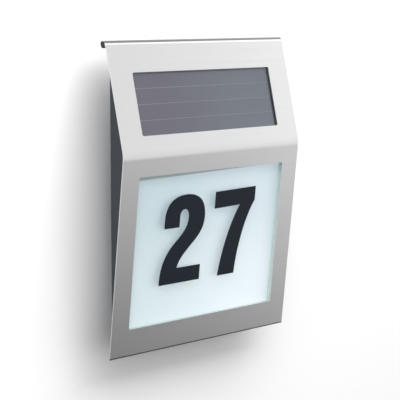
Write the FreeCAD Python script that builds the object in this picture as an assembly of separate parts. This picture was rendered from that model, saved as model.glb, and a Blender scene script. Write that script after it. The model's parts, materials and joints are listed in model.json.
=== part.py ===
"""Solar house number sign for a wall: a bent steel front hooked over a plastic rail, a solar module in its
upper window, and a lit light box with two digits in its lower one.

Millimetres. X runs along the wall to the right, Y into the wall, Z up. The wall is the plane y = 0, and the
origin is midway between the two wall screws, on the wall.
"""
import FreeCAD, Part
import math
import os

V = FreeCAD.Vector

# ---- bent steel front ----
plate_width = 200.0
plate_height = 249.3         # bottom edge to the top of the rolled hem
plate_thickness = 0.8
ridge_height = 161.7         # of the sharp corner that the bend rounds off, above the bottom edge
top_depth = 7.0              # front face to wall at the top
bottom_depth = 9.4           # front face to wall at the bottom edge
bend_radius = 24.0           # outside radius of the ridge
hook_end_angle = 8.0         # where the rolled hem ends, in degrees up from straight back

# ---- windows cut in the front ----
past = 1.0                   # how far a cut runs past the face it opens
window_corner = 1.5
solar_window_margin = 22.7   # front's side edge to the window
solar_window_top_margin = 25.41      # along the upper flat
number_window_margin = 18.0
number_window_bottom_margin = 22.43  # along the lower flat

# ---- rail that the front hangs on ----
rail_diameter = 4.8
hem_clearance = 0.08         # radial, between the rail and the rolled hem
rail_end_inset = 0.2         # rail's ends inside the front's side edges
rail_web = 1.6
rail_web_seat = 3.0          # depth of the groove that holds the web
glue_gap = 0.05

# ---- rear housing ----
side_overhang = 10.9         # front's side edge to the housing's side
cover_gap = 0.5              # back of the front to the housing's rim
side_wall = 2.0
back_wall = 2.4
top_wall = 4.6
bottom_wall = 2.0
hem_to_housing = 0.4
housing_bottom_rise = 4.8    # above the front's bottom edge
back_recess = 0.8
back_rim = 12.0
back_pad_radius = 9.0
drain_radius = 1.6
drain_spacing = 96.0

# ---- wall screws, reached through tunnels once the front is up ----
wall_screw_below_ridge = 1.7
wall_screw_inset = 17.1      # housing's inner side to the screw
wall_screw_hole_radius = 2.3
tunnel_radius = 5.2
tunnel_wall = 1.3
tunnel_floor = 4.0

# ---- solar module ----
module_overlap = 2.7         # hidden behind the front, each side
module_glass = 1.1
cell_count = 4
cells_beyond_window = 0.2
cell_gap = 0.5
cell_thickness = 0.2
busbar_width = 3.0
busbar_inset = 1.6           # from the glass's end
cell_end_gap = 0.4
module_back = 0.6
module_tape = 1.0
module_tape_width = 2.6
module_clearance = 0.3
pocket_wall = 2.0
pocket_floor = 1.8
skin = 2.0
terminal_size = (8.0, 5.0, 2.0)      # across, along the flat, deep
terminal_x = 50.0
terminal_from_end = 10.0     # glass's lower edge to the terminal's middle

# ---- light box, pane, digits and diffuser ----
box_clearance = 0.3          # light box to the housing's side walls
box_wall = 2.0
box_margin_above = 1.7       # light box's outside beyond the window
box_margin_below = 3.9
pane_thickness = 2.0
pane_tape = 0.5
digit_thickness = 0.4
diffuser_depth = 2.6         # back of the pane tape to the diffuser's front
diffuser_thickness = 1.5
diffuser_seat = 1.5
diffuser_clearance = 0.2
reflector_thickness = 0.5
reflector_clearance = 0.4
apron_length = 6.0
apron_thickness = 2.0
apron_screw_inset = 30.8     # light box's side to the screw
apron_screw_length = 4.0
pillar_radius = 2.6          # under each apron screw
pillar_root = 0.6            # pillar and pilot hole into the back wall
ear_width = 8.5
ear_thickness = 2.0
ear_height = 9.0
lead_hole_clearance = 0.2

# ---- digits ----
digit_height = 73.0
digit_base_to_window_end = 31.4
two_left = -52.1
seven_left = 5.2

# ---- light strip ----
led_count = 6
led_pitch = 24.0
led_size = (3.5, 1.2, 2.8)           # across, along the flat, deep
led_board_end_gap = 7.3      # to the light box's inner side
led_board_depth = 8.0
led_board_thickness = 1.0
led_board_start = 8.5                # behind the front face
led_screw_inset = 9.0        # from the board's end
led_screw_radius = 0.9
led_screw_length = 3.4
led_screw_head_radius = 1.8
led_screw_head_height = 1.1

# ---- service bay behind the ridge ----
deck_recess = 5.2            # deck's front face behind the ridge
deck_thickness = 2.0
deck_edge_gap = 0.35         # to the module's pocket above and the light box below
deck_side_gap = 0.5
deck_screw_inset = 5.1       # housing's inner side to the screw
deck_screw_from_top = 4.3
boss_to_light_box = 0.64
deck_screw_length = 9.0
boss_radius = 3.0
pilot_radius = 1.1

# ---- battery, tray and hatch ----
battery_radius = 7.25
battery_length = 50.5
battery_nub = 1.2
battery_nub_radius = 2.7
battery_right = -2.5         # tip of its nub, left of the middle
battery_below_ridge = 3.66
tray_wall = 1.2
tray_end_wall = 1.5
tray_side_room = 0.55
tray_to_deck = 1.3
tray_to_light_box = 0.58     # tray's lower side to the light box's top wall, at the back
deck_above_tray = 2.24       # deck's top edge over the tray's upper side
plus_room = 2.0
minus_room = 4.5
contact_thickness = 0.4
contact_height = 7.0
contact_foot = 0.6           # flat foot beyond each end of the bow
contact_bow_plus = 2.6       # half the bow's span
contact_bow_minus = 5.2
contact_tab = (2.0, 0.5)     # across and thick
contact_tab_reach = 1.0      # beyond the tray's end wall
contact_tab_slot = (2.4, 0.6)
plus_tab_rise = 6.0          # above the battery's axis
battery_edge = 0.6           # rounding of the can's ends
hatch_thickness = 1.3
hatch_gap = 0.1
hatch_overlap = 1.3
hatch_travel = 61.0
rail_lip = 0.6
rail_lip_reach = 0.9
hatch_rail = 1.2
hatch_rail_spare = 1.0       # rail beyond the open hatch
hatch_rib_count = 5
hatch_rib_pitch = 2.0
hatch_rib_width = 1.0
hatch_rib_length = 8.0
hatch_rib_height = 0.4

# ---- control board ----
board_x = (8.0, 61.0)
board_to_deck_top = 2.6
board_to_light_box = 1.54
board_standoff = 4.0
board_thickness = 1.6
board_screw_inset = 4.0
board_screw_length = 5.0
socket_size = (6.0, 5.5, 4.5)        # across, high off the board, deep along z
socket_inset = 0.3                   # from the board's edge
socket_xs = (12.6, 30.0, 45.0, 56.4)         # battery, lights, solar module, switch
chip_size = (5.0, 1.6, 4.0)
chip_place = (21.5, -0.5)            # x, and height above the board's middle
inductor_size = (3.0, 4.0)           # radius and height off the board
inductor_place = (36.5, 4.1)
inductor_edge = 0.5
capacitor_size = (2.5, 6.0)
capacitor_place = (46.5, -3.9)
lead_y = -11.0                       # plane that all leads run in
lead_radius = 0.65
lead_pitch = 2.0
lead_bend = 2.6
lead_over_tray = 2.0                 # battery lead above the tray's wall
switch_lead_pitch = 3.0
solder_height = 0.1                  # lead's end above the light strip's board
solar_lead_gap = 0.35                # lead's end behind the terminal

# ---- switch in the right side wall ----
switch_z = 20.0              # above the wall screws
switch_travel = 4.0
knob_length = 5.0
knob_width = 2.8
knob_reach = 2.0
knob_clearance = 0.3
switch_body_size = (6.4, 6.4, 17.0)  # deep, across, high
switch_flange = 0.8
switch_flange_height = 23.0
switch_screw_offset = 9.6
switch_screw_radius = 1.0
switch_face = 1.2                    # body's wall that the knob's stem passes through
switch_chamber = 2.2                 # depth of the room for the knob's foot
knob_foot_thickness = 1.8
knob_foot_overhang = 0.6
chamber_room = 0.1                   # round the foot's sides
knob_foot_gap = 0.2                  # behind the body's face wall
knob_groove = 0.5                    # depth, and half the width
knob_groove_pitch = 1.5

# ---- screws ----
cover_screw_inset = 18.1     # housing's side to the screw
cover_screw_y = -5.0
cover_screw_radius = 1.45
cover_screw_length = 7.4
cover_head_radius = 2.6
cover_head_height = 1.7
tab_width = 14.0
tab_gap = 0.4                # housing's bottom to the tab
tab_back = 2.5               # tab's rear edge to the wall
tab_rise = 1.0               # front's bottom edge to the tab's lower end
screw_gap = 0.2              # tab to the screw's head
slot_clearance = 0.25
small_head_radius = 2.1
small_head_height = 1.3
small_screw_radius = 1.0
self_tap_fit = 0.1           # a screw's shank runs this much inside its hole's edge
head_edge = 0.45             # rounding of a head, as a share of its height
slot_width = 0.6
slot_depth = 0.6
nut_half = 4.0               # block over each cover screw
nut_front = 2.6
nut_hole_spare = 0.4         # hole beyond the screw's tip
nut_roof = 0.8

# ---- worked out from the sizes above ----
ridge_z = wall_screw_below_ridge
bottom_z = ridge_z - ridge_height
battery_z = ridge_z - battery_below_ridge
tray_room = battery_radius + tray_side_room          # inside half height of the tray
tray_half = tray_room + tray_wall

# the bay behind the ridge is as deep as the battery in its tray, the deck and the hatch need
battery_axis_y = -back_wall - tray_wall - tray_room
deck_back = battery_axis_y - tray_room - tray_to_deck
deck_front = deck_back - deck_thickness
ridge_depth = deck_recess - deck_front               # front face to wall at the ridge
half_width = plate_width / 2
solar_window_width = plate_width - 2 * solar_window_margin
number_window_width = plate_width - 2 * number_window_margin
hem_inside = rail_diameter / 2 + hem_clearance
hem_outside = hem_inside + plate_thickness
rim = plate_thickness + cover_gap            # depth of the housing's rim behind the front face
housing_half = half_width - side_overhang
inner_half = housing_half - side_wall
wall_screw_x = inner_half - wall_screw_inset
cover_screw_x = housing_half - cover_screw_inset


class Flat:
    """One flat of the bent front: s runs along it from the ridge, n runs behind its front face."""

    def __init__(self, end_y, end_z):
        run, rise = end_y + ridge_depth, end_z - ridge_z
        self.length = math.hypot(run, rise)
        self.along = V(0, run / self.length, rise / self.length)
        self.inward = V(0, abs(rise) / self.length, -math.copysign(run, rise) / self.length)

    def point(self, x, s, n):
        return V(x, -ridge_depth, ridge_z) + self.along * s + self.inward * n

    def yz(self, s, n):
        place = self.point(0, s, n)
        return place.y, place.z

    def s_at_z(self, z, n):
        """How far along the flat the layer at depth n reaches height z."""
        return (z - ridge_z - n * self.inward.z) / self.along.z

    def at_z(self, z, n):
        return self.yz(self.s_at_z(z, n), n)

    def s_of(self, y, z):
        """How far along the flat a point lies."""
        return (y + ridge_depth) * self.along.y + (z - ridge_z) * self.along.z

    def depth_at(self, s, y):
        """How far behind the front face the plane at y lies, at the place s along the flat."""
        return (y + ridge_depth - s * self.along.y) / self.inward.y

    def block(self, x0, x1, s0, s1, n0, n1):
        return prism([self.yz(s0, n0), self.yz(s1, n0), self.yz(s1, n1), self.yz(s0, n1)], x0, x1)

    def sheet(self, outline, n0, n1):
        """A flat piece. outline is (half width, s0, s1)."""
        return self.block(-outline[0], outline[0], outline[1], outline[2], n0, n1)

    def frame(self, outer, inner, n0, n1):
        return self.sheet(outer, n0, n1).cut(self.sheet(inner, n0 - past, n1 + past))

    def window(self, width, s0, s1, radius, n0, n1):
        """A block with rounded corners, to cut through the sheet."""
        half = width / 2
        corners = [(-half, s0, 1, 1), (half, s0, -1, 1), (half, s1, -1, -1), (-half, s1, 1, -1)]
        edges = []
        bow = radius * (1 - math.sqrt(0.5))
        for index, (x, s, dx, ds) in enumerate(corners):
            before = (x, s + ds * radius) if index % 2 == 0 else (x + dx * radius, s)
            after = (x + dx * radius, s) if index % 2 == 0 else (x, s + ds * radius)
            middle = (x + dx * bow, s + ds * bow)
            edges.append((before, middle, after))
        pieces = []
        for index, (before, middle, after) in enumerate(edges):
            start = edges[index - 1][2]
            pieces.append(Part.LineSegment(self.point(*start, n0), self.point(*before, n0)).toShape())
            arc = Part.Arc(self.point(*before, n0), self.point(*middle, n0), self.point(*after, n0))
            pieces.append(arc.toShape())
        return Part.Face(Part.Wire(pieces)).extrude(self.inward * (n1 - n0))

    def peg(self, x, s, radius, n0, n1):
        return Part.makeCylinder(radius, n1 - n0, self.point(x, s, n0), self.inward)


def prism(outline, x0, x1):
    """A (y, z) outline drawn out along X."""
    points = [V(x0, y, z) for y, z in outline]
    return Part.Face(Part.makePolygon(points + points[:1])).extrude(V(x1 - x0, 0, 0))


def block(x0, x1, y0, y1, z0, z1):
    return Part.makeBox(x1 - x0, y1 - y0, z1 - z0, V(x0, y0, z0))


def rod(radius, start, end):
    return Part.makeCylinder(radius, (end - start).Length, start, end - start)


def bore(radius, mouth, end):
    """A cutting rod that runs past its mouth and stops at its end."""
    return rod(radius, mouth - (end - mouth).normalize() * past, end)


def through(radius, near, far):
    """A cutting rod that runs past both ends."""
    return bore(radius, near, far + (far - near).normalize() * past)


def one(shape):
    """The only solid of a shape."""
    assert len(shape.Solids) == 1, "a piece came apart"
    return shape.Solids[0]


def fuse(first, *others):
    """One solid from pieces that meet."""
    return one(first.fuse(list(others)).removeSplitter())


def pan_screw(seat, direction, radius, length, head_radius, head_height):
    """A slotted pan-head screw: its head stands on seat, its shank runs along direction."""
    direction = V(direction).normalize()
    head = rod(head_radius, seat - direction * head_height, seat)
    top = seat - direction * head_height
    crown = [edge for edge in head.Edges
             if edge.Closed and abs(edge.valueAt(0).distanceToPlane(top, direction)) < 0.01]
    head = head.makeFillet(head_height * head_edge, crown)
    across = direction.cross(V(1, 0, 0))
    if across.Length < 0.5:
        across = direction.cross(V(0, 1, 0))
    across.normalize()
    side = direction.cross(across)
    corner = top - across * head_radius - side * (slot_width / 2)
    along, over = across * (2 * head_radius), side * slot_width
    points = [corner, corner + along, corner + along + over, corner + over]
    slot = Part.Face(Part.makePolygon(points + points[:1])).extrude(direction * slot_depth)
    return fuse(head.cut(slot), rod(radius, seat, seat + direction * length))


def lead(points):
    """An insulated lead along straight runs joined by tangent arcs."""
    edges = []
    start = points[0]
    for before, corner, after in zip(points, points[1:], points[2:]):
        back = (before - corner).normalize()
        on = (after - corner).normalize()
        half_turn = (math.pi - back.getAngle(on)) / 2
        reach = lead_bend * math.tan(half_turn)
        first, last = corner + back * reach, corner + on * reach
        middle_way = (back + on).normalize()
        middle = corner + middle_way * (lead_bend / math.cos(half_turn) - lead_bend)
        edges.append(Part.LineSegment(start, first).toShape())
        edges.append(Part.Arc(first, middle, last).toShape())
        start = last
    edges.append(Part.LineSegment(start, points[-1]).toShape())
    path = Part.Wire(edges)
    section = Part.Wire(Part.makeCircle(lead_radius, points[0], points[1] - points[0]))
    tube = path.makePipeShell([section], True, False)
    solid = Part.Solid(tube) if tube.ShapeType == "Shell" else tube.Solids[0]
    expected = math.pi * lead_radius ** 2 * path.Length
    assert abs(solid.Volume / expected - 1) < 0.02, "a lead's volume is wrong"
    return solid


upper = Flat(-top_depth, bottom_z + plate_height)
lower = Flat(-bottom_depth, bottom_z)

# hinge axis: the rail's middle, where the hem touches the back of the upper flat
rail_z = bottom_z + plate_height - hem_outside
hem_start = (rail_z - ridge_z - hem_outside * upper.inward.z) / upper.along.z
rail_y = upper.yz(hem_start, hem_outside)[0]

housing_top = rail_z - hem_outside - hem_to_housing
housing_bottom = bottom_z + housing_bottom_rise
turn = upper.along.getAngle(lower.along * -1)

# layers behind the front face
glass_back = rim + module_glass
cell_back = glass_back + cell_thickness
module_rear = cell_back + module_back
ledge_front = module_rear + module_tape
ledge_back = ledge_front + pocket_floor
pane_back = rim + pane_thickness
box_front = pane_back + pane_tape
diffuser_front = box_front + diffuser_depth
diffuser_back = diffuser_front + diffuser_thickness

# outlines on the flats, as (half width, s0, s1)
deck_top = battery_z + tray_half + deck_above_tray
pocket_start = upper.s_at_z(deck_top + deck_edge_gap, ledge_back)
solar_window_start = pocket_start + pocket_wall + module_clearance + module_overlap
solar_end = upper.length - solar_window_top_margin
solar_middle = (solar_window_start + solar_end) / 2
cell_pitch = (solar_end - solar_window_start + 2 * cells_beyond_window) / cell_count
box_top = battery_z - tray_half - tray_to_light_box          # at the back, where it is highest
box_start = lower.s_of(-back_wall, box_top)
number_window_start = box_start + box_margin_above
number_end = lower.length - number_window_bottom_margin


def grown(outline, by):
    return outline[0] + by, outline[1] - by, outline[2] + by


module = grown((solar_window_width / 2, solar_window_start, solar_end), module_overlap)
pocket = grown(module, module_clearance)
pocket_outside = grown(pocket, pocket_wall)
box_outline = (inner_half - box_clearance, box_start, number_end + box_margin_below)

# the deck closes the bay between the module's pocket and the light box
deck_bottom = lower.yz(box_outline[1], box_front + deck_thickness)[1] + deck_edge_gap
deck_screw_x = inner_half - deck_screw_inset
deck_screw_zs = (box_top + boss_to_light_box + boss_radius, deck_top - deck_screw_from_top)
board_z = (box_top + board_to_light_box, deck_top - board_to_deck_top)
board_screws = [(x, board_z[0] + board_screw_inset)
                for x in (board_x[0] + board_screw_inset, board_x[1] - board_screw_inset)]
led_board_half = box_outline[0] - box_wall - diffuser_seat - led_board_end_gap
led_screw_x = led_board_half - led_screw_inset
screw_hole_radius = small_screw_radius + self_tap_fit
apron_screw_x = box_outline[0] - apron_screw_inset

# the knob's slot in the side wall and in the switch
knob_slot_half = (knob_length + switch_travel) / 2 + knob_clearance
knob_slot_side = knob_width / 2 + knob_clearance
switch_screw_zs = (switch_z - switch_screw_offset, switch_z + switch_screw_offset)


def front_plate():
    bend = bend_radius * math.tan(turn / 2)
    centre = V(0, *upper.yz(bend, bend_radius))
    to_ridge = (V(0, -ridge_depth, ridge_z) - centre).normalize()
    hem_centre = V(0, rail_y, rail_z)
    start_angle = math.atan2(-upper.inward.z, -upper.inward.y)
    end_angle = math.radians(hook_end_angle)

    def hem(angle, radius):
        return hem_centre + V(0, math.cos(angle), math.sin(angle)) * radius

    def side(depth, radius):
        """The path from the bottom edge to the end of the hem, at one face of the sheet."""
        corners = [lower.point(0, lower.length, depth), lower.point(0, bend, depth)]
        knee = centre + to_ridge * (bend_radius - depth)
        rise = [upper.point(0, bend, depth), upper.point(0, hem_start, depth)]
        over = [hem((start_angle + end_angle) / 2, radius), hem(end_angle, radius)]
        return [Part.LineSegment(*corners), Part.Arc(corners[1], knee, rise[0]),
                Part.LineSegment(*rise), Part.Arc(rise[1], *over)]

    outer, inner = side(0, hem_outside), side(plate_thickness, hem_inside)
    ends = [Part.LineSegment(outer[-1].EndPoint, inner[-1].EndPoint),
            Part.LineSegment(inner[0].StartPoint, outer[0].StartPoint)]
    wire = Part.Wire([curve.toShape() for curve in outer] + [ends[0].toShape()]
                     + [curve.toShape() for curve in reversed(inner)] + [ends[1].toShape()])
    wire.translate(V(-half_width, 0, 0))
    sheet = Part.Face(wire).extrude(V(plate_width, 0, 0))
    sheet = sheet.cut(upper.window(solar_window_width, solar_window_start, solar_end,
                                   window_corner, -past, plate_thickness + past))
    return one(sheet.cut(lower.window(number_window_width, number_window_start, number_end,
                                      window_corner, -past, plate_thickness + past)))


def cover_tabs():
    """Two tabs spot-welded behind the bottom edge, with slots that the cover screws clamp."""
    top = housing_bottom - tab_gap
    tabs = []
    for x in (-cover_screw_x, cover_screw_x):
        left, right = x - tab_width / 2, x + tab_width / 2
        front = [lower.at_z(z, plate_thickness) for z in (bottom_z + tab_rise, top)]
        back = [lower.at_z(z, 2 * plate_thickness) for z in (top, bottom_z + tab_rise)]
        leg = prism(front + back, left, right)
        shelf_front = lower.at_z(top - plate_thickness, plate_thickness)[0]
        shelf = block(left, right, shelf_front, -tab_back, top - plate_thickness, top)
        slot_radius = cover_screw_radius + slot_clearance
        under = top - plate_thickness
        slot = fuse(through(slot_radius, V(x, cover_screw_y, under), V(x, cover_screw_y, top)),
                    block(x - slot_radius, x + slot_radius, cover_screw_y, 0, under - past, top + past))
        tabs.append(one(fuse(leg, shelf).cut(slot)))
    return Part.makeCompound(tabs)


def cover_screw_seat():
    return housing_bottom - tab_gap - plate_thickness - screw_gap


def cover_screws():
    seat = cover_screw_seat()
    return Part.makeCompound([
        pan_screw(V(x, cover_screw_y, seat), V(0, 0, 1), cover_screw_radius, cover_screw_length,
                  cover_head_radius, cover_head_height)
        for x in (-cover_screw_x, cover_screw_x)])


def hook_rail():
    half = half_width - rail_end_inset
    bar = rod(rail_diameter / 2, V(-half, rail_y, rail_z), V(half, rail_y, rail_z))
    web_half = housing_half - glue_gap
    web = block(-web_half, web_half, rail_y - rail_web / 2, rail_y + rail_web / 2,
                housing_top - rail_web_seat + glue_gap, rail_z)
    return fuse(bar, web)


def housing_outline():
    knee = upper.yz(rim * math.tan(turn / 2), rim)
    return [(0, housing_bottom), (0, housing_top), upper.at_z(housing_top, rim), knee,
            lower.at_z(housing_bottom, rim)]


def deck_screw_places():
    return [(x, z) for x in (-deck_screw_x, deck_screw_x) for z in deck_screw_zs]


def rear_housing():
    outside = prism(housing_outline(), -housing_half, housing_half)
    hollow_bottom, hollow_top = housing_bottom + bottom_wall, housing_top - top_wall
    tub = outside.cut(block(-inner_half, inner_half, -2 * ridge_depth, -back_wall, hollow_bottom, hollow_top))

    # skin and pocket round the solar module
    skin_plate = upper.block(-housing_half, housing_half, pocket_outside[1], upper.length, rim, rim + skin)
    cup = upper.sheet(pocket_outside, rim, ledge_back)
    well = upper.sheet(pocket, 0, ledge_front)
    seat = grown(module, -module_tape_width - module_clearance)
    hole = upper.sheet(seat, 0, ledge_back + past)
    surround = skin_plate.fuse(cup).common(outside).cut(well).cut(hole)

    # tunnels to the wall screws, bosses for the deck and the board, and nuts for the cover screws
    posts, bores = [], []
    for x in (-wall_screw_x, wall_screw_x):
        posts.append(rod(tunnel_radius + tunnel_wall, V(x, -back_recess, 0), V(x, deck_back, 0)))
        bores.append(bore(tunnel_radius, V(x, deck_back, 0), V(x, -tunnel_floor, 0)))
        bores.append(through(wall_screw_hole_radius, V(x, -tunnel_floor, 0), V(x, 0, 0)))
    for x, z in deck_screw_places():
        top = deck_back + (ear_thickness if z == deck_screw_zs[0] else 0)
        posts.append(rod(boss_radius, V(x, -back_recess, z), V(x, top, z)))
        bores.append(bore(pilot_radius, V(x, deck_back, z), V(x, -back_wall, z)))
    for x, z in board_screws:
        posts.append(rod(boss_radius, V(x, -back_recess, z), V(x, -back_wall - board_standoff, z)))
        bores.append(bore(pilot_radius, V(x, -back_wall - board_standoff, z), V(x, -back_wall, z)))
    nut_hole_end = cover_screw_seat() + cover_screw_length + nut_hole_spare
    for x in (-cover_screw_x, cover_screw_x):
        posts.append(block(x - nut_half, x + nut_half, cover_screw_y - nut_front, -back_wall,
                           housing_bottom, nut_hole_end + nut_roof))
        bores.append(bore(cover_screw_radius, V(x, cover_screw_y, housing_bottom),
                          V(x, cover_screw_y, nut_hole_end)))
    apron_back = box_front + apron_thickness
    screw_s = box_outline[2] + apron_length / 2
    pillar_end = lower.depth_at(screw_s, -back_wall) + pillar_root
    for x in (-apron_screw_x, apron_screw_x):
        posts.append(lower.peg(x, screw_s, pillar_radius, apron_back, pillar_end))
        bores.append(lower.peg(x, screw_s, pilot_radius, apron_back - past, pillar_end))
    body = tub.fuse([surround] + posts)

    # groove for the rail, switch slot, drain holes and the shallow recess in the back
    groove_half = rail_web / 2 + glue_gap
    bores.append(block(-housing_half, housing_half, rail_y - groove_half, rail_y + groove_half,
                       housing_top - rail_web_seat, housing_top + past))
    bores.append(block(inner_half - past, housing_half + past, lead_y - knob_slot_side,
                       lead_y + knob_slot_side, switch_z - knob_slot_half, switch_z + knob_slot_half))
    for z in switch_screw_zs:
        bores.append(through(switch_screw_radius, V(inner_half, lead_y, z), V(housing_half, lead_y, z)))
    for x in (-drain_spacing / 2, drain_spacing / 2):
        y = -bottom_depth / 2
        bores.append(through(drain_radius, V(x, y, housing_bottom), V(x, y, hollow_bottom)))
    recess = block(-housing_half + back_rim, housing_half - back_rim, -back_recess, past,
                   housing_bottom + back_rim, housing_top - back_rim)
    for x in (-wall_screw_x, wall_screw_x):
        recess = recess.cut(through(back_pad_radius, V(x, -back_recess, 0), V(x, past, 0)))
    bores.append(recess)
    return one(body.cut(bores).removeSplitter())


def solar_glass():
    return upper.sheet(module, rim, glass_back)


def solar_cell(number):
    start = solar_middle + (number - cell_count / 2) * cell_pitch + cell_gap / 2
    end_x = module[0] - busbar_inset - busbar_width - cell_end_gap
    return upper.block(-end_x, end_x, start, start + cell_pitch - cell_gap, glass_back, cell_back)


def solar_busbars():
    outside = module[0] - busbar_inset
    inside = outside - busbar_width
    reach = cell_count * cell_pitch / 2
    sides = [(-outside, -inside), (inside, outside)]
    return Part.makeCompound([
        upper.block(*x, solar_middle - reach, solar_middle + reach, glass_back, cell_back)
        for x in sides])


def solar_back():
    return upper.sheet(module, cell_back, module_rear)


def solar_tape():
    return upper.frame(module, grown(module, -module_tape_width), module_rear, ledge_front)


def solar_terminal():
    across, along, deep = terminal_size
    s = module[1] + terminal_from_end
    return upper.block(terminal_x - across / 2, terminal_x + across / 2, s - along / 2, s + along / 2,
                       module_rear, module_rear + deep)


def number_pane():
    return lower.sheet(box_outline, rim, pane_back)


def number_tape():
    return lower.frame(box_outline, grown(box_outline, -box_wall), pane_back, box_front)


def light_box():
    half, s0, s1 = box_outline

    def floor(s):
        return lower.depth_at(s, -back_wall)

    def wedge(half_x, start, end, depth):
        outline = [lower.yz(start, depth), lower.yz(end, depth), lower.yz(end, floor(end)),
                   lower.yz(start, floor(start))]
        return prism(outline, -half_x, half_x)

    room = grown(box_outline, -box_wall - diffuser_seat)
    shell = wedge(half, s0, s1, box_front)
    shell = shell.cut(lower.sheet(grown(box_outline, -box_wall), 0, diffuser_back))
    shell = shell.cut(lower.sheet(room, 0, ridge_depth))
    apron = lower.block(-half, half, s1 - box_wall, s1 + apron_length, box_front, box_front + apron_thickness)
    root = lower.yz(s0 + box_wall / 2, box_front + deck_thickness)[1]
    ear_z = deck_screw_zs[0]
    ears = [block(max(side - ear_width / 2, -half), min(side + ear_width / 2, half),
                  deck_back, deck_back + ear_thickness, root, ear_z + ear_height / 2)
            for side in (-deck_screw_x, deck_screw_x)]
    body = fuse(shell, apron, *ears)
    for side in (-deck_screw_x, deck_screw_x):
        body = body.cut(through(screw_hole_radius, V(side, deck_back, ear_z),
                                V(side, deck_back + ear_thickness, ear_z)))
    for x in (-apron_screw_x, apron_screw_x):
        body = body.cut(lower.peg(x, s1 + apron_length / 2, screw_hole_radius, 0, floor(s1)))
    for x in led_lead_xs():
        body = body.cut(through(lead_radius + lead_hole_clearance, V(x, lead_y, led_lead_z()),
                                V(x, lead_y, box_top)))
    for x in (-led_screw_x, led_screw_x):
        seat = led_screw_seat(x)
        body = body.cut(rod(led_screw_radius, seat, seat - lower.along * led_screw_length))
    return one(body)


def led_lead_xs():
    return [socket_xs[1] + side * lead_pitch / 2 for side in (-1, 1)]


def led_lead_z():
    """Height at which the leads meet the light strip's board."""
    start = led_board_s()[0]
    return lower.yz(start, lower.depth_at(start, lead_y))[1]


def light_box_screws():
    s = box_outline[2] + apron_length / 2
    return Part.makeCompound([
        pan_screw(lower.point(x, s, box_front), lower.inward, small_screw_radius, apron_screw_length,
                  small_head_radius, small_head_height)
        for x in (-apron_screw_x, apron_screw_x)])


def diffuser():
    return lower.sheet(grown(box_outline, -box_wall - diffuser_clearance), diffuser_front, diffuser_back)


def reflector():
    half, s0, s1 = grown(box_outline, -box_wall - diffuser_seat - reflector_clearance)
    face = -back_wall - reflector_thickness
    top = lower.yz(s0, lower.depth_at(s0, face))[1]
    bottom = lower.yz(s1, lower.depth_at(s1, face))[1]
    return block(-half, half, face, -back_wall, bottom, top)


def led_board_s():
    """Where the light strip lies along the lower flat, under the light box's top wall."""
    start = box_outline[1] + box_wall + diffuser_seat
    return start, start + led_board_thickness


def led_board():
    start, end = led_board_s()
    board = lower.sheet((led_board_half, start, end), led_board_start, led_board_start + led_board_depth)
    for x in (-led_screw_x, led_screw_x):
        seat = led_screw_seat(x)
        board = board.cut(through(led_screw_radius + self_tap_fit, seat,
                                  seat - lower.along * led_board_thickness))
    return board


def led_screw_seat(x):
    return lower.point(x, led_board_s()[1], led_board_start + led_board_depth / 2)


def led_board_screws():
    return Part.makeCompound([
        pan_screw(led_screw_seat(x), lower.along * -1, led_screw_radius, led_screw_length,
                  led_screw_head_radius, led_screw_head_height)
        for x in (-led_screw_x, led_screw_x)])


def leds():
    across, along, deep = led_size
    start = led_board_s()[1]
    middle = led_board_start + led_board_depth / 2
    first = -led_pitch * (led_count - 1) / 2
    lamps = []
    for number in range(led_count):
        x = first + number * led_pitch
        lamps.append(lower.block(x - across / 2, x + across / 2, start, start + along,
                                 middle - deep / 2, middle + deep / 2))
    return Part.makeCompound(lamps)


def digit(left, strokes):
    """A flat digit on the pane's face. A stroke of two (across, up) points is a line, of more a curve."""
    front = rim - digit_thickness

    def place(across, up):
        return lower.point(left + across, number_end - digit_base_to_window_end - up, front)

    edges = []
    for stroke in strokes:
        points = [place(*point) for point in stroke]
        if len(points) == 2:
            edges.append(Part.LineSegment(*points).toShape())
        else:
            curve = Part.BezierCurve()
            curve.setPoles(points)
            edges.append(curve.toShape())
    return Part.Face(Part.Wire(edges)).extrude(lower.inward * digit_thickness)


def digit_2():
    top = digit_height
    base, base_right = 12.7, 45.0
    outer_left, outer_right, crown_x, belly = 1.9, 46.3, 24.6, 53.0
    mouth, mouth_top = 46.5, 61.0
    inner_left, inner_right = 18.3, 28.2
    full = 0.65                          # how square the bowl's shoulders are
    left_x, left_y = crown_x - outer_left, top - belly
    right_x = outer_right - crown_x
    throat = (inner_left + inner_right) / 2
    return digit(two_left, [
        [(0, 0), (base_right, 0)],
        [(base_right, 0), (base_right, base)],
        [(base_right, base), (18.4, base)],
        [(18.4, base), (19.8, 18.6), (24.4, 23.2), (30.3, 28.5)],
        [(30.3, 28.5), (38.9, 36.2), (outer_right, 41.5), (outer_right, belly)],
        [(outer_right, belly), (outer_right, belly + full * left_y),
         (crown_x + full * right_x, top), (crown_x, top)],
        [(crown_x, top), (crown_x - full * left_x, top),
         (outer_left, belly + full * left_y), (outer_left, belly)],
        [(outer_left, belly), (outer_left, mouth)],
        [(outer_left, mouth), (inner_left, mouth)],
        [(inner_left, mouth), (inner_left, belly + 2)],
        [(inner_left, belly + 2), (inner_left, 59.6), (throat - 2.4, mouth_top), (throat, mouth_top)],
        [(throat, mouth_top), (throat + 2.4, mouth_top), (inner_right, 59.4), (inner_right, belly + 1)],
        [(inner_right, belly + 1), (inner_right, 45.0), (21.4, 39.8), (15.0, 34.2)],
        [(15.0, 34.2), (5.6, 26.0), (0, 17.5), (0, 0)],
    ])


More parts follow.
